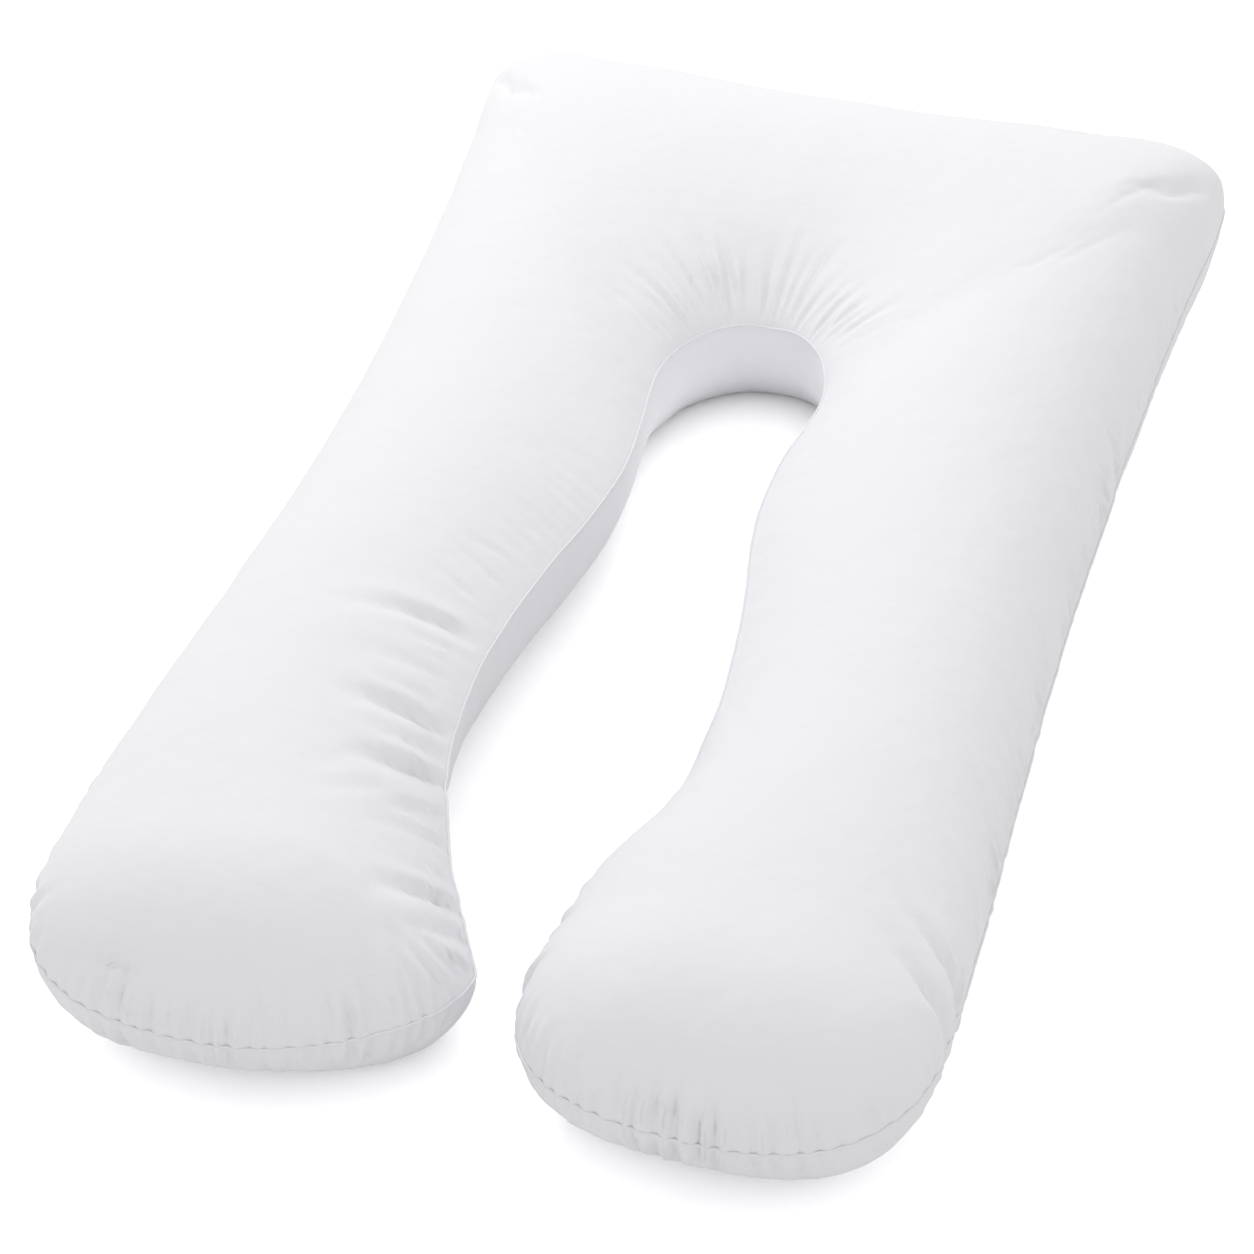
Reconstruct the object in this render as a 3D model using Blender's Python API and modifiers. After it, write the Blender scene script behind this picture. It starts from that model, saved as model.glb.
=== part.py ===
"""Pregnancy pillow: a filled U of white cotton, two panels sewn together round the rim.

The pillow lies flat on its back. +Y points to the head bar, +X to the leg on the right, +Z up.
The origin is on the surface under the middle of the pillow. All sizes are in metres.
"""

import math

import bmesh
import bpy
from mathutils import Vector

# How the lower panel meets the surface
FLOOR_PRESS = 0.016        # how far the surface presses the underside flat
FLOOR_CREASE = 1.0         # sharpness of the line where the underside leaves the surface, 0 to 1
INNER_TUCK = 0.084         # how far the lower panel runs in under the pillow before it meets the surface,
OUTER_TUCK = 0.150         # from the inner seam, from the outer seam
FOOT_TUCK = 0.150          # and from the end of a foot

# Rim seam
SEAM_PULL = 0.003          # how far the cloth stands out beside the rim seam
SEAM_CREASE = 0.35         # sharpness of the rim seam, 0 to 1

# Cells of the cage, and the distances between its rows
CURVE_STEPS = 24           # steps of the smooth curve between two sections of the table
STEPS_PER_ROW = 16         # of those steps, how many lie between two plain rows of the cage
CELLS_ACROSS = 4           # from the inner side to the outer side, on the top and below
CELLS_TALL = 4             # from the underside to the top, round the rim
PLAIN_CLEARANCE = 0.026    # a plain row of the cage keeps this far from a fold's rows
NEAREST_ROWS = 0.009       # two rows closer than this become one

# Where the cage's rows lie round a section, as angles from the seam: round the rim, then to the crown
RIM_ANGLES = (-36, -13, 0, 13, 36)
TOP_ANGLES = (36, 62, 90, 62, 36)
UNDER_ANGLES = (-36, -67, -90, -67, -36)

# Cross-sections of the right half, from the middle of the head bar to where the foot starts to round off.
# outer and inner are the seam's points in plan, seam heights are above the surface, crown is the full
# thickness, fullness is 2 for a round section and more for a flatter top with rounder shoulders.
SECTIONS = (
    # outer x, outer y, inner x, inner y, outer seam, inner seam, crown, fullness
    (0.000, 0.724, 0.000, 0.326, 0.103, 0.122, 0.208, 2.40),
    (0.120, 0.725, 0.024, 0.321, 0.104, 0.125, 0.208, 2.40),
    (0.235, 0.728, 0.045, 0.304, 0.107, 0.128, 0.210, 2.50),
    (0.340, 0.727, 0.062, 0.280, 0.109, 0.131, 0.212, 2.60),
    (0.394, 0.698, 0.074, 0.252, 0.111, 0.134, 0.212, 2.60),
    (0.402, 0.635, 0.081, 0.225, 0.110, 0.135, 0.210, 2.45),
    (0.395, 0.552, 0.083, 0.192, 0.105, 0.137, 0.206, 2.25),
    (0.387, 0.450, 0.078, 0.145, 0.098, 0.138, 0.206, 2.20),
    (0.380, 0.330, 0.071, 0.085, 0.091, 0.140, 0.206, 2.15),
    (0.375, 0.190, 0.070, 0.020, 0.083, 0.141, 0.205, 2.10),
    (0.372, 0.050, 0.079, -0.055, 0.079, 0.142, 0.205, 2.10),
    (0.372, -0.080, 0.093, -0.130, 0.084, 0.143, 0.205, 2.10),
    (0.375, -0.200, 0.104, -0.215, 0.092, 0.144, 0.205, 2.10),
    (0.379, -0.310, 0.108, -0.305, 0.099, 0.143, 0.205, 2.10),
    (0.383, -0.415, 0.098, -0.405, 0.106, 0.128, 0.205, 2.15),
    (0.385, -0.515, 0.062, -0.505, 0.113, 0.103, 0.205, 2.20),
    (0.384, -0.595, 0.031, -0.590, 0.118, 0.083, 0.205, 2.20),
)

# Round end of each foot, past the last section
FOOT_SEAM = 0.112          # height of the seam at the end
FOOT_LENGTH = {"left": 0.139, "right": 0.133}
FOOT_OUTER_FULLNESS = {"left": 3.0, "right": 2.4}
FOOT_INNER_FULLNESS = {"left": 1.8, "right": 2.4}
FOOT_ANGLES = (36, 54, 72) # the rows past the last section, as angles up from the end seam

# The feet lie a little unevenly: how far each one bulges further into the mouth of the gap
FOOT_BULGE = {"left": 0.018, "right": -0.003}
BULGE_START = -0.49        # where the bulge starts, in y
BULGE_SPAN = 0.10          # over what length it grows

# Main folds that the seam gathers into the panels. side and edge say where, along is the distance of the
# section from the middle of the head bar along the outer seam, reach is how far round the section from
# the seam the fold runs before it fades, in degrees.
FOLDS = (
    # side, edge, along, depth, half width, reach
    ("left", "inner", 1.240, 0.005, 0.018, 60),
    ("left", "inner", 1.310, 0.006, 0.018, 65),
    ("left", "inner", 1.385, 0.009, 0.020, 80),
    ("left", "inner", 1.475, 0.009, 0.020, 75),
    ("left", "inner", 1.530, 0.009, 0.018, 75),
    ("left", "inner", 1.590, 0.007, 0.016, 60),
    ("right", "outer", 0.650, 0.005, 0.020, 70),
    ("right", "outer", 0.930, 0.006, 0.020, 65),
    ("right", "outer", 1.320, 0.006, 0.020, 65),
    ("right", "outer", 1.490, 0.006, 0.018, 60),
)

COTTON_WHITE = (0.90, 0.90, 0.92, 1.0)
COTTON_ROUGHNESS = 0.75


def blend_row(rows, place):
    """The table's row at a place between two rows, on a smooth curve through all rows."""
    index = min(int(place), len(rows) - 2)
    t = place - index
    before = rows[max(index - 1, 0)]
    start = rows[index]
    end = rows[index + 1]
    after = rows[min(index + 2, len(rows) - 1)]
    if index == 0:
        # the half is mirrored here, so the row before is the next one with x turned over
        before = (-end[0], end[1], -end[2]) + end[3:]
    mixed = []
    for a, b, c, d in zip(before, start, end, after):
        pull = (c - a) / 2
        push = (d - b) / 2
        bend = 3 * (c - b) - 2 * pull - push
        twist = 2 * (b - c) + pull + push
        mixed.append(b + pull * t + bend * t ** 2 + twist * t ** 3)
    return mixed


def measure_outer_seam(rows):
    """Pairs of distance along the outer seam and place in the table."""
    line = [(0.0, 0.0)]
    last = Vector(rows[0][0:2])
    for step in range(1, CURVE_STEPS * (len(rows) - 1) + 1):
        place = step / CURVE_STEPS
        point = Vector(blend_row(rows, place)[0:2])
        line.append((line[-1][0] + (point - last).length, place))
        last = point
    return line


def place_at(line, along):
    """Place in the table at a distance along the outer seam."""
    for (near, first), (far, second) in zip(line, line[1:]):
        if along <= far:
            return first + (second - first) * (along - near) / (far - near)
    return line[-1][1]


def row_distances(side, line):
    """Distances along one half where the cage has a row: plain ones, and three at each fold."""
    length = line[-1][0]
    folded = []
    for fold_side, edge, along, depth, half_width, reach in FOLDS:
        if fold_side == side:
            folded += [along - half_width, along, along + half_width]
    plain = [distance for distance, place in line[::STEPS_PER_ROW]]
    kept = [d for d in plain if all(abs(d - f) > PLAIN_CLEARANCE for f in folded)]
    for distance in sorted(folded):
        if all(abs(distance - other) > NEAREST_ROWS for other in kept):
            kept.append(distance)
    for end in (0.0, length):
        if all(abs(end - other) > NEAREST_ROWS for other in kept):
            kept.append(end)
    return sorted(kept)


def fold_depth(side, edge, along, angle):
    """How far the folds draw the cloth in at one point of the skin."""
    total = 0.0
    for fold_side, fold_edge, centre, depth, half_width, reach in FOLDS:
        if (fold_side, fold_edge) != (side, edge):
            continue
        across = abs(along - centre) / half_width
        down = abs(angle) / reach
        if across < 1 and down < 1:
            total += depth * math.cos(across * math.pi / 2) ** 2 * math.cos(down * math.pi / 2)
    return total


def mix(a, b, share):
    return a + (b - a) * share


def skin_point(row, side, along, across, end, up):
    """A point of the skin: across from the inner side (-) to the outer (+), end towards the foot's end."""
    outer = Vector(row[0:2])
    inner = Vector(row[2:4])
    outer_seam, inner_seam, crown, fullness = row[4:8]
    grown = min(1.0, max(0.0, (BULGE_START - inner.y) / BULGE_SPAN))
    inner.x -= FOOT_BULGE[side] * grown
    centre = (outer + inner) / 2
    corner = (FOOT_OUTER_FULLNESS if across > 0 else FOOT_INNER_FULLNESS)[side]

    # where this direction meets the rim in plan, and how far it lies from the crown to there
    flat = (abs(across) ** corner + abs(end) ** corner) ** (1 / corner)
    rim = Vector((0, 0))
    lean = 0.0
    toward_end = 0.0
    if flat:
        rim = (outer - inner) / 2 * across / flat + Vector((0, -FOOT_LENGTH[side])) * end / flat
        lean = across / math.hypot(across, end)
        toward_end = (end / math.hypot(across, end)) ** 2
    seam = mix(mix(inner_seam, outer_seam, (lean + 1) / 2), FOOT_SEAM, toward_end)
    tuck = mix(mix(INNER_TUCK, OUTER_TUCK, (lean + 1) / 2), FOOT_TUCK, toward_end)

    angle = math.atan2(abs(up), math.hypot(across, end))
    drawn_in = fold_depth(side, "outer" if across > 0 else "inner", along, math.degrees(angle))
    if up:
        drawn_in -= SEAM_PULL * math.cos(angle) ** 2
    if up >= 0:
        size = (flat ** fullness + up ** fullness) ** (-1 / fullness)
        spread = flat * size
        height = mix(seam, crown, up * size)
    else:
        spread = 1 - tuck * (1 - math.cos(angle)) / rim.length if flat else 0.0
        height = max(0.0, seam - (seam + FLOOR_PRESS) * math.sin(angle))
    plan = centre + rim * spread
    if flat:
        plan -= rim.normalized() * drawn_in * math.cos(angle)
    height -= drawn_in * math.sin(angle) if up > 0 else 0.0
    return Vector((plan.x, plan.y, height))


def add_box_cage(mesh, across, along, tall):
    """A box of quads whose corners lie on whole numbers, from the origin to its three cell counts."""
    bmesh.ops.create_cube(mesh, size=1.0)
    bmesh.ops.translate(mesh, verts=mesh.verts, vec=(0.5, 0.5, 0.5))
    bmesh.ops.scale(mesh, verts=mesh.verts, vec=(across, along, tall))
    for axis, cells in enumerate((across, along, tall)):
        runs = [e for e in mesh.edges if abs((e.verts[0].co - e.verts[1].co)[axis]) > cells / 2]
        bmesh.ops.subdivide_edges(mesh, edges=runs, cuts=cells - 1, use_grid_fill=True)


def cotangent(angle):
    return 1 / math.tan(math.radians(angle)) if angle != 90 else 0.0


def cage_direction(i, k, foot_angle):
    """Direction from the filling's middle to a cage corner, for its column, level and foot row."""
    rim = cotangent(TOP_ANGLES[0])
    foot = cotangent(foot_angle)
    if k == CELLS_TALL or k == 0:
        angles = TOP_ANGLES if k else UNDER_ANGLES
        across = cotangent(abs(angles[i])) * (1 if i > CELLS_ACROSS / 2 else -1)
        return across, foot, 1 if k else -1
    across = rim * (2 * i / CELLS_ACROSS - 1)
    up = rim * math.tan(math.radians(RIM_ANGLES[k]))
    return across, foot, up


def build_pillow(collection, material):
    line = measure_outer_seam(SECTIONS)
    length = line[-1][0]

    # rows from the left foot's end round the head bar to the right foot's end
    left = [("left", along, 90) for along in row_distances("left", line)[:0:-1]]
    right = [("right", along, 90) for along in row_distances("right", line)]
    left_foot = [("left", length, angle) for angle in FOOT_ANGLES]
    right_foot = [("right", length, angle) for angle in reversed(FOOT_ANGLES)]
    rows = left_foot + left + right + right_foot

    mesh = bmesh.new()
    add_box_cage(mesh, CELLS_ACROSS, len(rows) - 1, CELLS_TALL)
    crease = mesh.edges.layers.float.new("crease_edge")
    for edge in mesh.edges:
        (i, j, k), (other_i, other_j, other_k) = (tuple(round(c) for c in v.co) for v in edge.verts)
        if k == other_k == CELLS_TALL // 2:
            edge[crease] = SEAM_CREASE
        elif k == other_k == 0 and i == other_i in (1, CELLS_ACROSS - 1):
            before_feet = rows[j][2] == rows[other_j][2] == 90
            edge[crease] = FLOOR_CREASE if before_feet else 0.0

    for vert in mesh.verts:
        i, j, k = (round(value) for value in vert.co)
        side, along, foot_angle = rows[j]
        row = blend_row(SECTIONS, place_at(line, along))
        vert.co = skin_point(row, side, along, *cage_direction(i, k, foot_angle))
        if side == "left":
            vert.co.x = -vert.co.x

    bmesh.ops.recalc_face_normals(mesh, faces=mesh.faces)
    if mesh.calc_volume(signed=True) < 0:
        bmesh.ops.reverse_faces(mesh, faces=mesh.faces)
    data = bpy.data.meshes.new("pillow")
    mesh.to_mesh(data)
    mesh.free()
    data.shade_smooth()
    data.materials.append(material)
    pillow = bpy.data.objects.new("pillow", data)
    collection.objects.link(pillow)

    smooth = pillow.modifiers.new("round the cage off", "SUBSURF")
    smooth.levels = 1
    smooth.render_levels = 1
    return pillow


def cotton(name):
    material = bpy.data.materials.new(name)
    material.use_nodes = True
    shader = material.node_tree.nodes["Principled BSDF"]
    shader.inputs["Base Color"].default_value = COTTON_WHITE
    shader.inputs["Roughness"].default_value = COTTON_ROUGHNESS
    shader.inputs["Metallic"].default_value = 0.0
    return material


def main():
    for thing in list(bpy.data.objects):
        bpy.data.objects.remove(thing, do_unlink=True)
    collection = bpy.data.collections.new("pregnancy_pillow")
    bpy.context.scene.collection.children.link(collection)
    build_pillow(collection, cotton("white_cotton"))


main()
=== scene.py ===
# %% [markdown]
# A pregnancy pillow is one long cushion bent into a U. Two U-shaped panels of cotton are sewn together
# round the rim and stuffed, so the cloth bulges between the seams and gathers into small folds beside them.
# This notebook loads the solid of the pillow, and dresses it: a fine skin is laid over its form,
# Blender's cloth simulation fills it with air, and the seam and the main folds are then added.

# %% Load the frame
import math
import random

import bmesh
import bpy
import numpy as np
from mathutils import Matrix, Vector, noise
from mathutils.kdtree import KDTree


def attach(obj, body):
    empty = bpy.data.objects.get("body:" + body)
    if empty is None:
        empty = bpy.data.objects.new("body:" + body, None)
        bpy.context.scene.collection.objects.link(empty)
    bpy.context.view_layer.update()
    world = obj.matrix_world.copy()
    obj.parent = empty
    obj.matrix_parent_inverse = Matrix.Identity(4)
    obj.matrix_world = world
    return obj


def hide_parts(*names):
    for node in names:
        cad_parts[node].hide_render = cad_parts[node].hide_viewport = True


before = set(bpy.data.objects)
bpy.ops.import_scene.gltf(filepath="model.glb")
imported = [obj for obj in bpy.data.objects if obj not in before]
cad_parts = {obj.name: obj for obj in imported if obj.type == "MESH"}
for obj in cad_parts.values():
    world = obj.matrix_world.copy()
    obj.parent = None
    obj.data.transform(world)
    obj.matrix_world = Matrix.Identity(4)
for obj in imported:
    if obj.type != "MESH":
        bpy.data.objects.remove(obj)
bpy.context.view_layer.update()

# %% [markdown]
# The camera comes first. The photograph is taken from in front of the
# feet, a little to the right, and looks down at about forty degrees from a long way off, so the two legs
# hardly converge. A long lens at three and a half metres does the same.

# %% Place the camera
AZIMUTH = math.radians(16.27)
ELEVATION = math.radians(39.60)
DISTANCE = 3.521                   # from the lens to the middle of the pillow, along the view
SIDESTEP = (-0.0528, -0.0067)      # of the lens in its own plane, right and up
FOCAL_PIXELS = 3674.0
PHOTO_WIDTH = 1254.0
SENSOR = 36.0

back = Vector((
    math.sin(AZIMUTH) * math.cos(ELEVATION),
    -math.cos(AZIMUTH) * math.cos(ELEVATION),
    math.sin(ELEVATION),
))
right = Vector((math.cos(AZIMUTH), math.sin(AZIMUTH), 0.0))
up = back.cross(right)
lens = bpy.data.cameras.new("camera")
lens.sensor_width = SENSOR
lens.lens = FOCAL_PIXELS / PHOTO_WIDTH * SENSOR
camera = bpy.data.objects.new("camera", lens)
camera.location = back * DISTANCE + right * SIDESTEP[0] + up * SIDESTEP[1]
camera.rotation_euler = back.to_track_quat("Z", "Y").to_euler()
bpy.context.scene.collection.objects.link(camera)
bpy.context.scene.camera = camera
print("camera at", [round(c, 3) for c in camera.location])

# %% [markdown]
# The form is described by its cross-sections, from the middle of the head bar round to the foot. Each row
# says where the seam runs on the outer and the inner side, how high it lies, and how thick the pillow is.
# One table serves both legs, turned over for the left one. Only the feet and the inner side above them are
# told apart, because the two legs lie a little differently.

# %% Sections of the pillow
SECTIONS = (
    # outer x, outer y, inner x, inner y, outer seam, inner seam, crown, fullness
    (0.000, 0.724, 0.000, 0.326, 0.103, 0.122, 0.208, 2.40),
    (0.120, 0.725, 0.024, 0.321, 0.104, 0.125, 0.208, 2.40),
    (0.235, 0.728, 0.045, 0.304, 0.107, 0.128, 0.210, 2.50),
    (0.340, 0.727, 0.062, 0.280, 0.109, 0.131, 0.212, 2.60),
    (0.394, 0.698, 0.074, 0.252, 0.111, 0.134, 0.212, 2.60),
    (0.402, 0.635, 0.081, 0.225, 0.110, 0.135, 0.210, 2.45),
    (0.395, 0.552, 0.083, 0.192, 0.105, 0.137, 0.206, 2.25),
    (0.387, 0.450, 0.078, 0.145, 0.098, 0.138, 0.206, 2.20),
    (0.380, 0.330, 0.071, 0.085, 0.091, 0.140, 0.206, 2.15),
    (0.375, 0.190, 0.070, 0.020, 0.083, 0.141, 0.205, 2.10),
    (0.372, 0.050, 0.079, -0.055, 0.079, 0.142, 0.205, 2.10),
    (0.372, -0.080, 0.093, -0.130, 0.084, 0.143, 0.205, 2.10),
    (0.375, -0.200, 0.104, -0.215, 0.092, 0.144, 0.205, 2.10),
    (0.379, -0.310, 0.108, -0.305, 0.099, 0.143, 0.205, 2.10),
    (0.383, -0.415, 0.098, -0.405, 0.106, 0.128, 0.205, 2.15),
    (0.385, -0.515, 0.062, -0.505, 0.113, 0.103, 0.205, 2.20),
    (0.384, -0.595, 0.031, -0.590, 0.118, 0.083, 0.205, 2.20),
)
FOOT_SEAM = 0.088
FOOT_LENGTH = {"left": 0.139, "right": 0.133}
FOOT_OUTER_FULLNESS = {"left": 3.0, "right": 2.4}
FOOT_INNER_FULLNESS = {"left": 1.8, "right": 2.6}
FOOT_BULGE = {"left": 0.018, "right": -0.003}
INSTEP = {"left": 0.0, "right": 0.012}      # how much fuller the inner side is, above the foot
INSTEP_PLACE = -0.49
INSTEP_SPAN = 0.07
BULGE_START = -0.49                # along the leg, where a foot's inner side starts to swell
BULGE_SPAN = 0.10
FLOOR_PRESS = 0.016                # how far a round underside would sink into the floor
INNER_TUCK = 0.105
OUTER_TUCK = 0.150
FOOT_TUCK = 0.200
INNER_SLOPE = 1.70                 # 1 for a round flank above the seam, more for a slanting one
OUTER_SLOPE = 1.0
FOOT_SLOPE = 1.15
INNER_FULLNESS = 0.82              # of the inner flank, as a share of the row's
FUNNEL_END = -0.26                 # where the right leg's inner flank starts to turn round
FUNNEL_FADE = 0.14


def blend_row(place):
    """The table's row at a place between two rows, on a smooth curve through all of them."""
    index = min(int(place), len(SECTIONS) - 2)
    t = place - index
    start = SECTIONS[index]
    end = SECTIONS[index + 1]
    before = SECTIONS[index - 1] if index else (-end[0], end[1], -end[2]) + end[3:]
    after = SECTIONS[min(index + 2, len(SECTIONS) - 1)]
    mixed = []
    for a, b, c, d in zip(before, start, end, after):
        pull = (c - a) / 2
        push = (d - b) / 2
        bend = 3 * (c - b) - 2 * pull - push
        twist = 2 * (b - c) + pull + push
        mixed.append(b + pull * t + bend * t ** 2 + twist * t ** 3)
    return mixed


def mix(a, b, share):
    return a + (b - a) * share


def skin_point(row, side, across, end, up):
    """The form's point in one direction from the middle of the filling."""
    outer = Vector(row[0:2])
    inner = Vector(row[2:4])
    outer_seam, inner_seam, crown, fullness = row[4:8]
    inner.x -= FOOT_BULGE[side] * min(1.0, max(0.0, (BULGE_START - inner.y) / BULGE_SPAN))
    inner.x -= INSTEP[side] * math.exp(-(((inner.y - INSTEP_PLACE) / INSTEP_SPAN) ** 2))
    centre = (outer + inner) / 2
    corner = (FOOT_OUTER_FULLNESS if across > 0 else FOOT_INNER_FULLNESS)[side]
    flat = (abs(across) ** corner + abs(end) ** corner) ** (1 / corner)
    if not flat:
        return Vector((centre.x, centre.y, crown if up > 0 else 0.0))
    rim = (outer - inner) / 2 * across / flat + Vector((0, -FOOT_LENGTH[side])) * end / flat
    lean = across / math.hypot(across, end)
    toward_end = 1 - lean ** 2
    seam = mix(mix(inner_seam, outer_seam, (lean + 1) / 2), FOOT_SEAM, toward_end)
    tuck = mix(mix(INNER_TUCK, OUTER_TUCK, (lean + 1) / 2), FOOT_TUCK, toward_end)
    if up >= 0:
        rounder = 0.0
        if side == "right":
            rounder = min(1.0, max(0.0, (FUNNEL_END - inner.y) / FUNNEL_FADE))
        inner_slope = mix(INNER_SLOPE, FOOT_SLOPE, rounder)
        slope = mix(mix(inner_slope, OUTER_SLOPE, (lean + 1) / 2), FOOT_SLOPE, toward_end)
        fullness *= mix(mix(INNER_FULLNESS, 1.0, rounder), 1.0, (lean + 1) / 2)
        size = (flat ** fullness + up ** fullness) ** (-1 / fullness)
        spread = flat * size
        height = mix(seam, crown, (up * size) ** slope)
    else:
        angle = math.atan2(-up, math.hypot(across, end))
        reach = 1 - math.cos(angle)
        spread = 1 - tuck * reach / rim.length
        height = max(0.0, seam - (seam + FLOOR_PRESS) * math.sin(angle))
    plan = centre + rim * spread
    return Vector((plan.x, plan.y, height))


print("sections:", len(SECTIONS))

# %% [markdown]
# The skin is a box of quads bent round the U: its long side follows the pillow, its ends close the feet,
# and the middle of its narrow sides is the rim seam. Its rows run across the pillow, so a fold that starts
# at the seam follows them. A remeshed blob would lose the seam; a plain grid would pinch at the rim.

# %% Lay a fine skin over the form
CELLS_ACROSS = 28
CELLS_TALL = 8
RIM_ANGLE = 36.0                   # where the box's corners lie, in degrees above and below the seam
ROW_SPACING = 0.0110               # along the outer seam
FOOT_ROWS = 12
CURVE_STEPS = 40


def outer_seam_line():
    """Pairs of distance along the outer seam and place in the table."""
    line = [(0.0, 0.0)]
    last = Vector(SECTIONS[0][0:2])
    for step in range(1, CURVE_STEPS * (len(SECTIONS) - 1) + 1):
        point = Vector(blend_row(step / CURVE_STEPS)[0:2])
        line.append((line[-1][0] + (point - last).length, step / CURVE_STEPS))
        last = point
    return line


def even_places():
    """Places in the table with even distances along the outer seam."""
    line = outer_seam_line()
    distances, places = zip(*line)
    count = round(distances[-1] / ROW_SPACING)
    return list(np.interp(np.linspace(0, distances[-1], count + 1), distances, places))


def cotangent(angle):
    return 1 / math.tan(math.radians(angle)) if abs(angle - 90) > 1e-9 else 0.0


def box_direction(i, k, foot_angle):
    """Direction from the filling's middle to one corner of the box of quads."""
    wide = cotangent(RIM_ANGLE)
    foot = cotangent(foot_angle)
    off_middle = 2 * i / CELLS_ACROSS - 1
    if k in (0, CELLS_TALL):
        angle = mix(90.0, RIM_ANGLE, abs(off_middle))
        return math.copysign(cotangent(angle), off_middle), foot, 1 if k else -1
    up = math.tan(math.radians(mix(-RIM_ANGLE, RIM_ANGLE, k / CELLS_TALL))) * wide
    return wide * off_middle, foot, up


def box_of_quads(mesh, across, along, tall):
    """A box whose corners lie on whole numbers, cut into single cells."""
    bmesh.ops.create_cube(mesh, size=1.0)
    bmesh.ops.translate(mesh, verts=mesh.verts, vec=(0.5, 0.5, 0.5))
    bmesh.ops.scale(mesh, verts=mesh.verts, vec=(across, along, tall))
    for axis, cells in enumerate((across, along, tall)):
        runs = [e for e in mesh.edges if abs((e.verts[0].co - e.verts[1].co)[axis]) > cells / 2]
        bmesh.ops.subdivide_edges(mesh, edges=runs, cuts=cells - 1, use_grid_fill=True)


def build_skin():
    """The fine skin as an object, and the numbers of its points on the seam and on the floor."""
    places = even_places()
    foot_angles = list(np.linspace(RIM_ANGLE, 90, FOOT_ROWS + 1)[:-1])
    last = len(SECTIONS) - 1
    rows = [("left", last, angle) for angle in foot_angles]
    rows += [("left", place, 90.0) for place in reversed(places[1:])]
    rows += [("right", place, 90.0) for place in places]
    rows += [("right", last, angle) for angle in reversed(foot_angles)]

    mesh = bmesh.new()
    box_of_quads(mesh, CELLS_ACROSS, len(rows) - 1, CELLS_TALL)
    mesh.verts.index_update()
    seam = []
    floor = []
    under = mesh.verts.layers.float.new("under")
    on_seam = mesh.verts.layers.float.new("on_seam")
    sections = [blend_row(place) for side, place, angle in rows]
    for vert in mesh.verts:
        i, j, k = (round(c) for c in vert.co)
        side, place, foot_angle = rows[j]
        vert.co = skin_point(sections[j], side, *box_direction(i, k, foot_angle))
        if side == "left":
            vert.co.x = -vert.co.x
        on_side = i in (0, CELLS_ACROSS) or j in (0, len(rows) - 1)
        vert[under] = float(k == 0 and not on_side)
        vert[on_seam] = float(k == CELLS_TALL // 2 and on_side)
        if vert[on_seam]:
            seam.append(vert.index)
        if vert.co.z < 1e-6:
            floor.append(vert.index)
    bmesh.ops.recalc_face_normals(mesh, faces=mesh.faces)
    if mesh.calc_volume(signed=True) < 0:
        bmesh.ops.reverse_faces(mesh, faces=mesh.faces)
    data = bpy.data.meshes.new("pillow_skin")
    mesh.to_mesh(data)
    mesh.free()
    skin = bpy.data.objects.new("pillow_skin", data)
    bpy.context.scene.collection.objects.link(skin)
    return skin, seam, floor


skin, seam_points, floor_points = build_skin()
print("skin:", len(skin.data.vertices), "points,", len(skin.data.polygons), "quads")
print("of the points,", len(seam_points), "lie on the seam and", len(floor_points), "on the floor")

# %% [markdown]
# Everything that happens to the cloth is measured from the seam: how far along it, and how far away from
# it. So each point of the skin gets those two numbers, from the nearest point of the closed seam line,
# which runs from the middle of the head bar down the right leg, round the gap, and up the left leg.

# %% Measure from the seam
SEAM_STEP = 0.001
EVEN_OUT = 20                      # in millimetres to either side, for the line that is measured from


def order_seam(skin):
    """The seam's points in order, starting from the middle of the head bar towards the right leg."""
    mesh = bmesh.new()
    mesh.from_mesh(skin.data)
    mark = mesh.verts.layers.float["on_seam"]
    start = max((v for v in mesh.verts if v[mark] > 0.99), key=lambda v: v.co.y - abs(v.co.x))
    line = [start]
    used = {start}
    while True:
        near = [e.other_vert(line[-1]) for e in line[-1].link_edges]
        near = [v for v in near if v[mark] > 0.99 and v not in used]
        if not near:
            break
        chosen = max(near, key=lambda v: v.co.x) if len(line) == 1 else near[0]
        line.append(chosen)
        used.add(chosen)
    points = np.array([v.co[:] for v in line + [start]])
    normals = np.array([v.normal[:] for v in line + [start]])
    mesh.free()
    return points, normals


def fine_seam(skin):
    """Distances along the seam, and points and outward directions on it, a millimetre apart."""
    points, normals = order_seam(skin)
    along = np.concatenate(([0.0], np.cumsum(np.linalg.norm(np.diff(points, axis=0), axis=1))))
    steps = np.arange(0, along[-1], SEAM_STEP)
    fine = np.column_stack([np.interp(steps, along, points[:, axis]) for axis in range(3)])
    outward = np.column_stack([np.interp(steps, along, normals[:, axis]) for axis in range(3)])
    return steps, fine, outward


def smooth_line(line, reach):
    """The closed line with the zigzag of the quads averaged out of it."""
    kernel = np.ones(2 * reach + 1) / (2 * reach + 1)
    wrapped = np.concatenate((line[-reach:], line, line[:reach]))
    return np.column_stack([np.convolve(wrapped[:, axis], kernel, "valid") for axis in range(3)])


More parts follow.
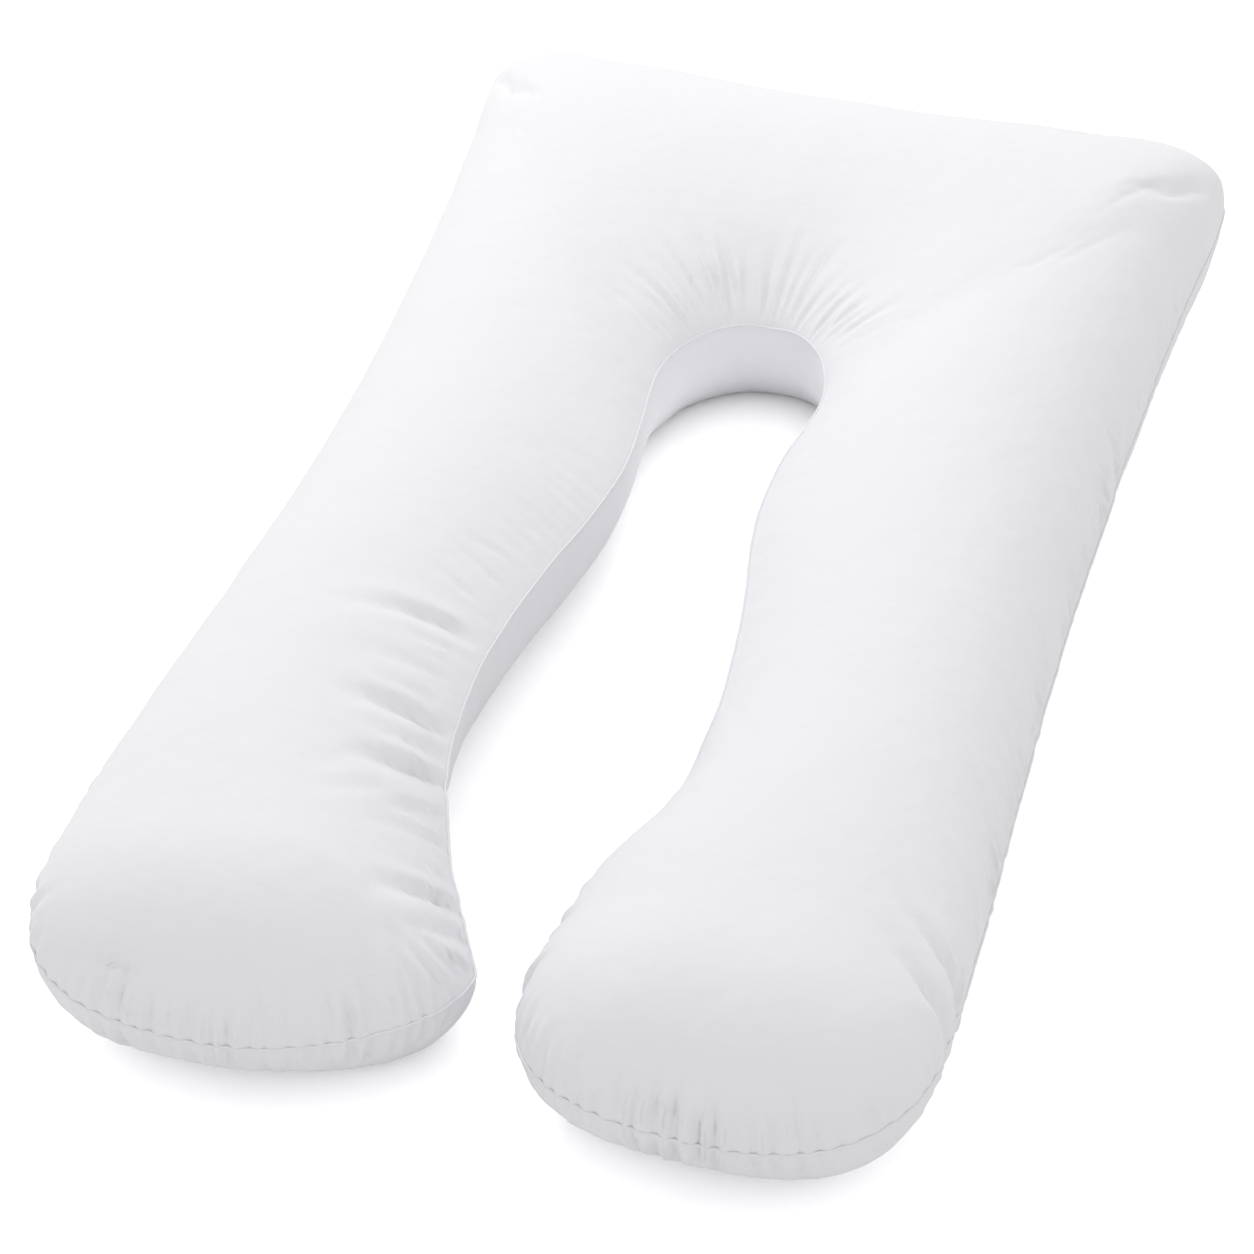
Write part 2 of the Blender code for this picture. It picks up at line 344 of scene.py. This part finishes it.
class SeamRuler:
    """Distance along the seam, distance from it and side of it for every point of a skin."""

    def __init__(self, skin):
        self.steps, line = fine_seam(skin)[:2]
        self.line = smooth_line(line, EVEN_OUT)
        self.length = self.steps[-1]
        self.tree = KDTree(len(self.line))
        for number, point in enumerate(self.line):
            self.tree.insert(point, number)
        self.tree.balance()
        found = [self.tree.find(v.co) for v in skin.data.vertices]
        nearest = np.array([f[1] for f in found])
        self.along = self.steps[nearest]
        self.away = np.array([f[2] for f in found])
        heights = np.array([v.co.z for v in skin.data.vertices])
        self.above = heights >= self.line[nearest, 2]

    def find(self, x, y):
        """Distance along the seam of its point nearest to a place in plan."""
        return self.steps[np.argmin(np.hypot(self.line[:, 0] - x, self.line[:, 1] - y))]


ruler = SeamRuler(skin)
print("seam length:", round(ruler.length, 3), "m")

# %% [markdown]
# A crease is a soft trough that runs away from the seam and dies out towards the crown. It is narrow near
# the stitches and wide and faint at its far end, as on any stuffed cushion. The function below sinks one
# such trough into the skin, and a low ridge of pushed-up cloth stands on either side of it.

# %% Sink a crease
RIDGE_SHARE = 0.40                 # height of the ridges beside a trough, as a share of its depth
RAMP = 0.012                       # over which a crease starts, where it starts away from the seam
AT_SEAM = 0.35                     # share of its depth where it starts at the seam
SWEEP_REACH = 0.02                 # from the seam, over which a swept crease bends
NARROW = 0.75                      # of its width, at the near end
WIDENING = 0.6                     # of its width, that it gains up to the far end
RIDGE_PLACE = 1.3                  # of the ridges' tops, in half widths
RIDGE_WIDTH = 0.5


def sink_crease(drop, ruler, place, near, far, slant, width, depth, below=0.0, sweep=0.0):
    """Add one crease to the drops of a skin's points, all lengths in metres."""
    shift = ruler.along - place - slant * ruler.away + sweep * (1 - np.exp(-ruler.away / SWEEP_REACH))
    shift = (shift + ruler.length / 2) % ruler.length - ruler.length / 2
    part = (ruler.away - near) / (far - near)
    half = width * (NARROW + WIDENING * np.clip(part, 0, 1))
    here = (part < 1) & (ruler.away > near - RAMP) & (np.abs(shift) < 2.6 * half)
    if not here.any():
        return
    offset = np.abs(shift[here]) / half[here]
    trough = np.where(offset < 1, (1 - offset) ** 1.3, 0.0)
    ridge = np.exp(-((offset - RIDGE_PLACE) / RIDGE_WIDTH) ** 2)
    part = part[here]
    start = AT_SEAM if near == 0 else 0.0
    rise = np.clip((ruler.away[here] - near + RAMP * (near > 0)) / RAMP / 2, 0, 1)
    fade = (start + (1 - start) * rise) * (1 - np.clip(part, 0, 1) ** 2) ** 1.2
    fade *= np.where(ruler.above[here], 1.0, below)
    sunk = depth * fade * (trough - RIDGE_SHARE * ridge)
    drop[here] += sunk


def press_in(skin, drop):
    """Move every point of a skin inwards by its drop."""
    normals = [v.normal.copy() for v in skin.data.vertices]
    for vert, normal, amount in zip(skin.data.vertices, normals, drop):
        vert.co -= normal * float(amount)
        vert.co.z = max(0.0, vert.co.z)


# %% [markdown]
# Wide, soft troughs come first, before the cloth is filled, so that the filling swells between them. They
# are placed where the photograph shows the form itself dip: along the inner side of the left leg,
# at the feet and down the outer right side.

# %% Place the soft troughs
SOFT_TROUGHS = (
    # x, y on the seam, starts, ends, slant, half width, depth
    (-0.106, -0.260, 0.020, 0.140, 0.25, 0.016, 0.0040),
    (-0.102, -0.365, 0.010, 0.130, 0.10, 0.015, 0.0045),
    (-0.093, -0.420, 0.000, 0.120, 0.10, 0.015, 0.0050),
    (-0.046, -0.535, 0.000, 0.120, 0.05, 0.015, 0.0045),
    (-0.024, -0.600, 0.000, 0.100, 0.25, 0.014, 0.0040),
    (-0.060, -0.680, 0.000, 0.090, 0.00, 0.014, 0.0035),
    (0.383, -0.605, 0.000, 0.095, -0.45, 0.015, 0.0060),
    (0.384, -0.562, 0.000, 0.095, -0.45, 0.014, 0.0050),
    (0.036, -0.620, 0.000, 0.080, 0.10, 0.015, 0.0045),
    (0.382, -0.400, 0.000, 0.100, -0.80, 0.015, 0.0025),
    (0.375, -0.190, 0.000, 0.100, -0.80, 0.015, 0.0025),
    (0.372, 0.000, 0.000, 0.110, -0.70, 0.015, 0.0025),
)


def place_soft_troughs(skin, ruler):
    drop = np.zeros(len(skin.data.vertices))
    for x, y, near, far, slant, width, depth in SOFT_TROUGHS:
        sink_crease(drop, ruler, ruler.find(x, y), near, far, slant, width, depth)
    press_in(skin, drop)
    return drop


drop = place_soft_troughs(skin, ruler)
print("deepest trough:", round(float(drop.max()) * 1000, 1), "mm")

# %% [markdown]
# Cloth simulation makes the folds that nobody would place by hand. The seam and the pressed underside are
# held where they are and air pressure stands in for the filling, so the creased cloth swells between the
# troughs. A cap on how far a point may move keeps the form.

# %% Fill the skin
PRESSURE = 4.0
LAST_FRAME = 16
MOST_MOVE = 0.012


def fill(skin):
    held = skin.vertex_groups.new(name="held")
    held.add(sorted(set(seam_points) | set(floor_points)), 1.0, "REPLACE")
    rest = [v.co.copy() for v in skin.data.vertices]
    cloth = skin.modifiers.new("filling", "CLOTH")
    settings = cloth.settings
    settings.quality = 5
    settings.mass = 0.15
    settings.air_damping = 2.0
    settings.tension_stiffness = 40
    settings.compression_stiffness = 40
    settings.shear_stiffness = 20
    settings.bending_stiffness = 0.05
    settings.use_pressure = True
    settings.uniform_pressure_force = PRESSURE
    settings.effector_weights.gravity = 0
    settings.vertex_group_mass = "held"
    cloth.point_cache.frame_start = 1
    cloth.point_cache.frame_end = LAST_FRAME
    for number in range(1, LAST_FRAME + 1):
        bpy.context.scene.frame_set(number)
    shaped = skin.evaluated_get(bpy.context.evaluated_depsgraph_get())
    moved = [v.co.copy() for v in shaped.data.vertices]
    skin.modifiers.remove(cloth)
    bpy.context.scene.frame_set(1)
    moves = []
    for vert, start, end in zip(skin.data.vertices, rest, moved):
        step = end - start
        moves.append(step.length)
        if step.length > MOST_MOVE:
            step *= MOST_MOVE / step.length
        vert.co = start + step
        vert.co.z = max(0.0, vert.co.z)
    return np.array(moves)


moves = fill(skin)
print("moved by", round(moves.mean() * 1000, 1), "mm on average")
print("and by", round(moves.max() * 1000, 1), "mm at most, before the cap")

# %% [markdown]
# The sharp creases are placed one by one too. On the upper left leg they stop well short of the
# seam, and lower down they run into it.

# %% List the sharp creases
CREASES = (
    # x, y on the seam, starts, ends, slant, half width, depth
    (-0.095, -0.145, 0.030, 0.085, 0.30, 0.006, 0.0014),
    (-0.100, -0.190, 0.025, 0.095, -0.10, 0.006, 0.0018),
    (-0.105, -0.225, 0.030, 0.100, -0.10, 0.006, 0.0018),
    (-0.106, -0.255, 0.035, 0.145, 0.25, 0.009, 0.0048),
    (-0.107, -0.280, 0.028, 0.090, 0.25, 0.007, 0.0028),
    (-0.107, -0.315, 0.018, 0.110, 0.15, 0.008, 0.0028),
    (-0.104, -0.340, 0.020, 0.095, 0.15, 0.007, 0.0024),
    (-0.102, -0.368, 0.012, 0.125, 0.05, 0.009, 0.0050),
    (-0.098, -0.395, 0.012, 0.090, 0.05, 0.007, 0.0028),
    (-0.094, -0.418, 0.010, 0.115, 0.05, 0.009, 0.0058),
    (-0.088, -0.432, 0.070, 0.155, 0.25, 0.010, 0.0024),
    (-0.084, -0.448, 0.008, 0.090, 0.25, 0.008, 0.0034),
    (-0.072, -0.478, 0.008, 0.100, 0.05, 0.008, 0.0038),
    (-0.060, -0.506, 0.006, 0.080, 0.15, 0.007, 0.0034),
    (-0.045, -0.535, 0.006, 0.115, 0.05, 0.009, 0.0056),
    (-0.034, -0.562, 0.004, 0.090, 0.15, 0.008, 0.0038),
    (-0.025, -0.592, 0.004, 0.085, 0.15, 0.008, 0.0046),
    (-0.022, -0.622, 0.000, 0.080, 0.35, 0.008, 0.0042),
    (-0.035, -0.652, 0.000, 0.090, 0.00, 0.009, 0.0046),
    (-0.060, -0.682, 0.000, 0.080, 0.00, 0.008, 0.0038),
    (-0.095, -0.706, 0.000, 0.070, 0.00, 0.008, 0.0034),
    (0.031, -0.600, 0.000, 0.065, 0.30, 0.008, 0.0052),
    (0.034, -0.640, 0.000, 0.060, 0.10, 0.008, 0.0036),
    (0.048, -0.668, 0.000, 0.060, 0.00, 0.008, 0.0042),
    (0.075, -0.694, 0.000, 0.062, 0.00, 0.008, 0.0044),
    (0.105, -0.710, 0.000, 0.055, 0.00, 0.007, 0.0038),
    (0.150, -0.722, 0.000, 0.055, 0.00, 0.007, 0.0052),
    (0.384, -0.562, 0.000, 0.095, -0.45, 0.009, 0.0060),
    (0.383, -0.605, 0.000, 0.092, -0.45, 0.009, 0.0070),
    (0.382, -0.400, 0.008, 0.070, -0.80, 0.008, 0.0034),
    (0.377, -0.250, 0.015, 0.100, -0.60, 0.008, 0.0029),
    (0.375, -0.180, 0.006, 0.065, -0.85, 0.008, 0.0034),
    (0.372, -0.020, 0.015, 0.085, -0.60, 0.008, 0.0029),
    (0.375, 0.200, 0.015, 0.080, -0.55, 0.008, 0.0024),
)

# %% [markdown]
# Between them the seam draws the cloth into small puckers. They come in stretches: thin streaks that fan
# out above the gap, short ones that cross the seam at the ends of the feet, long and slanting ones down
# the outer right side, and hardly any on the head bar. Each stretch says how far apart, how long and how
# deep its puckers are, and a seeded random number keeps any two from being alike.

# %% List the puckers
PUCKERS = (
    # from x, y, to x, y, pitch, starts, ends, slant, sweep, depth, share below the seam
    (0.300, 0.727, 0.401, 0.600, 0.026, 0.010, 0.055, -0.20, 0.000, 0.0012, 0.3),
    (0.396, 0.560, 0.380, 0.330, 0.022, 0.008, 0.085, -0.50, 0.015, 0.0030, 0.3),
    (0.380, 0.330, 0.372, -0.080, 0.022, 0.008, 0.085, -0.55, 0.018, 0.0036, 0.3),
    (0.372, -0.080, 0.383, -0.500, 0.020, 0.006, 0.090, -0.55, 0.018, 0.0038, 0.4),
    (0.384, -0.520, 0.340, -0.700, 0.018, 0.000, 0.070, -0.30, 0.000, 0.0044, 0.8),
    (0.340, -0.705, 0.080, -0.700, 0.015, 0.000, 0.060, 0.00, 0.000, 0.0085, 0.9),
    (0.060, -0.690, 0.070, -0.490, 0.016, 0.000, 0.062, 0.10, 0.000, 0.0050, 0.6),
    (0.090, -0.440, 0.080, -0.060, 0.030, 0.000, 0.060, 0.00, 0.000, 0.0012, 0.0),
    (0.070, 0.020, 0.076, 0.230, 0.020, 0.000, 0.060, 0.00, 0.000, 0.0014, 0.0),
    (0.072, 0.262, 0.010, 0.325, 0.010, 0.024, 0.115, 0.00, 0.000, 0.0022, 0.0),
    (0.010, 0.325, -0.078, 0.235, 0.010, 0.024, 0.125, 0.00, 0.000, 0.0026, 0.0),
    (-0.080, 0.220, -0.070, 0.020, 0.020, 0.010, 0.070, 0.00, 0.000, 0.0006, 0.0),
    (-0.071, 0.010, -0.100, -0.200, 0.016, 0.015, 0.090, 0.00, 0.000, 0.0009, 0.0),
    (-0.102, -0.210, -0.100, -0.400, 0.020, 0.010, 0.085, 0.10, 0.000, 0.0011, 0.0),
    (-0.098, -0.410, -0.031, -0.620, 0.019, 0.000, 0.070, 0.10, 0.000, 0.0020, 0.4),
    (-0.033, -0.640, -0.340, -0.712, 0.015, 0.000, 0.065, 0.00, 0.000, 0.0085, 0.9),
    (-0.345, -0.708, -0.385, -0.500, 0.017, 0.000, 0.050, 0.00, 0.000, 0.0055, 0.6),
    (-0.384, -0.450, -0.372, 0.050, 0.040, 0.000, 0.045, 0.00, 0.000, 0.0012, 0.4),
    (-0.372, 0.050, -0.401, 0.600, 0.034, 0.000, 0.050, 0.00, 0.000, 0.0014, 0.4),
    (-0.401, 0.620, -0.300, 0.727, 0.030, 0.000, 0.045, 0.00, 0.000, 0.0010, 0.2),
)

# %% [markdown]
# The simulated skin is coarse. The part that shows is cut finer and eased, and the underside is left alone.
# Where deep puckers stand close together it is cut once more, so that each has a few rows of quads.

# %% Cut the skin finer
FINE_DEPTH = 0.0018                # puckers from this depth on get the finest quads
FINE_PITCH = 0.0175                # and only where they stand this close together
FINE_BELOW = 0.035                 # how far below the seam they reach


def cut(skin, edges_of, ease):
    mesh = bmesh.new()
    mesh.from_mesh(skin.data)
    edges = edges_of(mesh)
    made = bmesh.ops.subdivide_edges(mesh, edges=edges, cuts=1, use_grid_fill=True, smooth=0.5)
    fresh = [v for v in made["geom_inner"] if isinstance(v, bmesh.types.BMVert)]
    if ease:
        axes = {"use_axis_x": True, "use_axis_y": True, "use_axis_z": True}
        bmesh.ops.smooth_vert(mesh, verts=fresh, factor=ease, **axes)
    mesh.to_mesh(skin.data)
    mesh.free()


def shown_edges(mesh):
    under = mesh.verts.layers.float["under"]
    return [e for e in mesh.edges if not all(v[under] > 0.9 for v in e.verts)]


def puckered_edges(mesh):
    ruler = SeamRuler(skin)
    fine = np.zeros(len(mesh.verts), dtype=bool)
    for x, y, end_x, end_y, pitch, near, far, slant, sweep, depth, below in PUCKERS:
        if depth < FINE_DEPTH or pitch > FINE_PITCH:
            continue
        place = ruler.find(x, y)
        span = (ruler.find(end_x, end_y) - place) % ruler.length
        inside = (ruler.along - place + 0.01) % ruler.length < span + 0.02
        reach = np.where(ruler.above, far, FINE_BELOW if below else 0.008)
        fine |= inside & (ruler.away < reach)
    return [e for e in mesh.edges if fine[e.verts[0].index] and fine[e.verts[1].index]]


def count_triangles(thing):
    return sum(len(face.vertices) - 2 for face in thing.data.polygons)


cut(skin, shown_edges, 0.3)
print("skin once cut:", count_triangles(skin), "triangles")
cut(skin, puckered_edges, 0.0)
skin.data.shade_smooth()
print("skin twice cut:", count_triangles(skin), "triangles")

# %% [markdown]
# Loose fibre filling is never quite even. A little slow noise gives the cloth the faint dents of it, and
# they are kept clear of the floor.

# %% Dent the filling
DENTS = (
    # size of a dent, how deep
    (0.070, 0.0011),
    (0.028, 0.0005),
)


def dent(skin):
    drop = []
    for vert in skin.data.vertices:
        clear = min(1.0, vert.co.z / 0.03)
        drop.append(clear * sum(noise.noise(vert.co / size) * depth for size, depth in DENTS))
    press_in(skin, drop)
    return max(drop)


print("deepest dent:", round(dent(skin) * 1000, 2), "mm")

# %% [markdown]
# Now the stitches draw the seam in, and every crease and pucker is sunk into the fine skin.

# %% Pucker the seam
SEAM_PULL = 0.0007                 # how far the stitches draw the cloth in
SEAM_REACH = 0.007
CREASE_BELOW = 0.7                 # share of a crease's depth below the seam, where it crosses the seam
PUCKER_DEPTH = (0.35, 1.25)        # each as a share of its stretch's own number, from least to most
PUCKER_REACH = (0.5, 1.15)
PUCKER_START = (0.4, 1.5)
PUCKER_LEAN = (-0.08, 0.08)        # added to the slant
PUCKER_WIDTH = (0.42, 0.60)        # as a share of the pitch
PUCKER_GAP = (0.65, 1.45)


def pucker(skin):
    chance = random.Random(7)
    ruler = SeamRuler(skin)
    drop = np.zeros(len(skin.data.vertices))
    for x, y, near, far, slant, width, depth in CREASES:
        below = CREASE_BELOW if near == 0 else 0.0
        sink_crease(drop, ruler, ruler.find(x, y), near, far, slant, width, depth, below)
    count = 0
    for x, y, end_x, end_y, pitch, near, far, slant, sweep, depth, below in PUCKERS:
        place = ruler.find(x, y)
        span = (ruler.find(end_x, end_y) - place) % ruler.length
        gone = chance.uniform(0, pitch)
        while gone < span:
            ease = min(1.0, 4 * gone / span, 4 * (span - gone) / span)
            size = chance.uniform(*PUCKER_DEPTH) * (0.5 + 0.5 * ease)
            reach = near + (far - near) * chance.uniform(*PUCKER_REACH)
            start = near * chance.uniform(*PUCKER_START)
            lean = slant + chance.uniform(*PUCKER_LEAN)
            width = pitch * chance.uniform(*PUCKER_WIDTH)
            sink_crease(drop, ruler, place + gone, start, reach, lean, width, depth * size, below, sweep)
            gone += pitch * chance.uniform(*PUCKER_GAP)
            count += 1
    drop += SEAM_PULL * np.exp(-ruler.away / SEAM_REACH)
    press_in(skin, drop)
    return count, drop


count, drop = pucker(skin)
print(count, "puckers, the deepest", round(float(drop.max()) * 1000, 1), "mm")

# %% [markdown]
# The two panels meet in a plain seam. Its folded edge stands a little proud of the cloth and catches the
# light as one fine line all round the rim, so it is a thin roll of the same cotton along the seam.

# %% Sew the seam
ROLL = 0.0012
ROLL_OUT = 0.0008                  # how far its middle lies outside the seam
ROLL_STEP = 3                      # in millimetres between the roll's points
ROLL_EVEN = 4                      # in millimetres to either side, over which its line is evened out


def make_seam_roll(skin):
    steps, line, outward = fine_seam(skin)
    curve = bpy.data.curves.new("seam_roll", "CURVE")
    curve.dimensions = "3D"
    curve.bevel_depth = ROLL
    curve.bevel_resolution = 1
    spline = curve.splines.new("POLY")
    points = smooth_line(line + outward * ROLL_OUT, ROLL_EVEN)[::ROLL_STEP]
    spline.points.add(len(points) - 1)
    for point, place in zip(spline.points, points):
        point.co = (*place, 1.0)
    spline.use_cyclic_u = True
    tube = bpy.data.objects.new("seam_roll_curve", curve)
    bpy.context.scene.collection.objects.link(tube)
    shaped = tube.evaluated_get(bpy.context.evaluated_depsgraph_get())
    data = bpy.data.meshes.new_from_object(shaped)
    bpy.data.objects.remove(tube)
    roll = bpy.data.objects.new("seam_roll", data)
    bpy.context.scene.collection.objects.link(roll)
    roll.data.shade_smooth()
    return roll


seam_roll = make_seam_roll(skin)
print("seam roll:", count_triangles(seam_roll), "triangles")

# %% [markdown]
# The cloth is a smooth, close cotton: almost white, a little cool, matt, with a soft sheen at grazing
# angles. A node group holds what every cotton shares: a plain weave at its real pitch, and the faint
# crumple between the folds. Both stay in the bump, since they are far finer than the mesh.

# %% Cotton
COTTON_WHITE = (0.86, 0.86, 0.885, 1.0)
WEAVE_WAVES = 560.0                # makes threads about half a millimetre apart
WEAVE_HEIGHT = 0.00003
CRUMPLE_SIZE = 0.018
CRUMPLE_HEIGHT = 0.0010


def cotton_relief():
    """A node group that gives the height of the weave and of the crumple, in metres."""
    group = bpy.data.node_groups.new("cotton_relief", "ShaderNodeTree")
    group.interface.new_socket("Height", in_out="OUTPUT", socket_type="NodeSocketFloat")
    nodes = group.nodes
    links = group.links
    place = nodes.new("ShaderNodeTexCoord")
    end = nodes.new("NodeGroupOutput")
    waves = []
    for direction in ("X", "Y"):
        wave = nodes.new("ShaderNodeTexWave")
        wave.bands_direction = direction
        wave.inputs["Scale"].default_value = WEAVE_WAVES
        links.new(place.outputs["Object"], wave.inputs["Vector"])
        waves.append(wave)
    weave = nodes.new("ShaderNodeMath")
    weave.operation = "MULTIPLY"
    for number, wave in enumerate(waves):
        links.new(wave.outputs["Fac"], weave.inputs[number])
    crumple = nodes.new("ShaderNodeTexNoise")
    crumple.inputs["Scale"].default_value = 1 / CRUMPLE_SIZE
    crumple.inputs["Detail"].default_value = 3.0
    crumple.inputs["Roughness"].default_value = 0.45
    links.new(place.outputs["Object"], crumple.inputs["Vector"])
    fine = nodes.new("ShaderNodeMath")
    fine.operation = "MULTIPLY"
    fine.inputs[1].default_value = WEAVE_HEIGHT
    links.new(weave.outputs["Value"], fine.inputs[0])
    both = nodes.new("ShaderNodeMath")
    both.operation = "MULTIPLY_ADD"
    both.inputs[1].default_value = CRUMPLE_HEIGHT
    links.new(crumple.outputs["Fac"], both.inputs[0])
    links.new(fine.outputs["Value"], both.inputs[2])
    links.new(both.outputs["Value"], end.inputs["Height"])
    return group


def cotton():
    material = bpy.data.materials.new("white_cotton")
    material.use_nodes = True
    nodes = material.node_tree.nodes
    links = material.node_tree.links
    shader = nodes["Principled BSDF"]
    shader.inputs["Base Color"].default_value = COTTON_WHITE
    shader.inputs["Roughness"].default_value = 0.80
    shader.inputs["Specular IOR Level"].default_value = 0.30
    shader.inputs["Sheen Weight"].default_value = 0.15
    shader.inputs["Sheen Roughness"].default_value = 0.50
    relief = nodes.new("ShaderNodeGroup")
    relief.node_tree = cotton_relief()
    bump = nodes.new("ShaderNodeBump")
    bump.inputs["Strength"].default_value = 1.0
    bump.inputs["Distance"].default_value = 1.0
    links.new(relief.outputs["Height"], bump.inputs["Height"])
    links.new(bump.outputs["Normal"], shader.inputs["Normal"])
    return material


cloth_look = cotton()
for piece in (skin, seam_roll):
    piece.data.materials.clear()
    piece.data.materials.append(cloth_look)

# %% [markdown]
# The pillow lies on a plain pale floor in soft studio light. Most of it comes from above and from the far
# left, so the fronts of the feet are a little darker. Two weak reflectors lighten the shade between the
# legs. The floor looks brighter than the light it gives back, as in an overexposed studio picture.

# %% Floor and light
FLOOR_SIZE = 12.0
FLOOR_DROP = 0.0005                # below the pillow, so that the two never share a plane
FLOOR_SEEN = (1.65, 1.65, 1.65, 1.0)
FLOOR_BOUNCE = (0.92, 0.92, 0.92, 1.0)
CARD_WIDTH = 0.12
CARD_HEIGHT = 0.004


def make_floor():
    mesh = bmesh.new()
    bmesh.ops.create_grid(mesh, x_segments=4, y_segments=4, size=FLOOR_SIZE / 2)
    bmesh.ops.translate(mesh, verts=mesh.verts, vec=(0, 0, -FLOOR_DROP))
    data = bpy.data.meshes.new("floor")
    mesh.to_mesh(data)
    mesh.free()
    floor = bpy.data.objects.new("floor", data)
    bpy.context.scene.collection.objects.link(floor)
    material = bpy.data.materials.new("floor")
    material.use_nodes = True
    shader = material.node_tree.nodes["Principled BSDF"]
    shader.inputs["Roughness"].default_value = 1.0
    shader.inputs["Specular IOR Level"].default_value = 0.0
    rays = material.node_tree.nodes.new("ShaderNodeLightPath")
    seen = material.node_tree.nodes.new("ShaderNodeMix")
    seen.data_type = "RGBA"
    seen.inputs["A"].default_value = FLOOR_BOUNCE
    seen.inputs["B"].default_value = FLOOR_SEEN
    material.node_tree.links.new(rays.outputs["Is Camera Ray"], seen.inputs["Factor"])
    material.node_tree.links.new(seen.outputs["Result"], shader.inputs["Base Color"])
    floor.data.materials.append(material)
    return floor


def make_light(name, place, aim, size, power):
    data = bpy.data.lights.new(name, "AREA")
    data.shape = "DISK"
    data.size = size
    data.energy = power
    light = bpy.data.objects.new(name, data)
    light.location = place
    light.rotation_euler = (Vector(place) - Vector(aim)).to_track_quat("Z", "Y").to_euler()
    bpy.context.scene.collection.objects.link(light)
    return light


def make_reflector(name, y, length, power):
    """A weak light that lies on the floor between the legs, where the camera does not see it."""
    card = make_light(name, (0, y, CARD_HEIGHT), (0, y, 1.0), CARD_WIDTH, power)
    card.data.shape = "ELLIPSE"
    card.data.size_y = length
    card.visible_camera = False


floor = make_floor()
make_light("overhead", (0, 0, 3.6), (0, 0, 0), 3.0, 13.0)
make_light("window", (-1.8, 2.4, 2.8), (0, 0, 0), 2.0, 47.0)
make_reflector("reflector in the gap", 0.19, 0.20, 0.06)
make_reflector("reflector between the legs", -0.14, 0.44, 0.02)
world = bpy.data.worlds.new("studio")
bpy.context.scene.world = world
world.use_nodes = True
world.node_tree.nodes["Background"].inputs["Color"].default_value = (1.0, 1.0, 1.0, 1.0)
world.node_tree.nodes["Background"].inputs["Strength"].default_value = 0.75
bpy.context.scene.view_settings.view_transform = "Standard"

# %% [markdown]
# The skin and the seam roll stand in for the one soft solid and move with its only body. The filling is
# soft enough to press in.

# %% Hand the pieces over
for piece in (skin, seam_roll):
    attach(piece, "root")
    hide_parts("pillow")
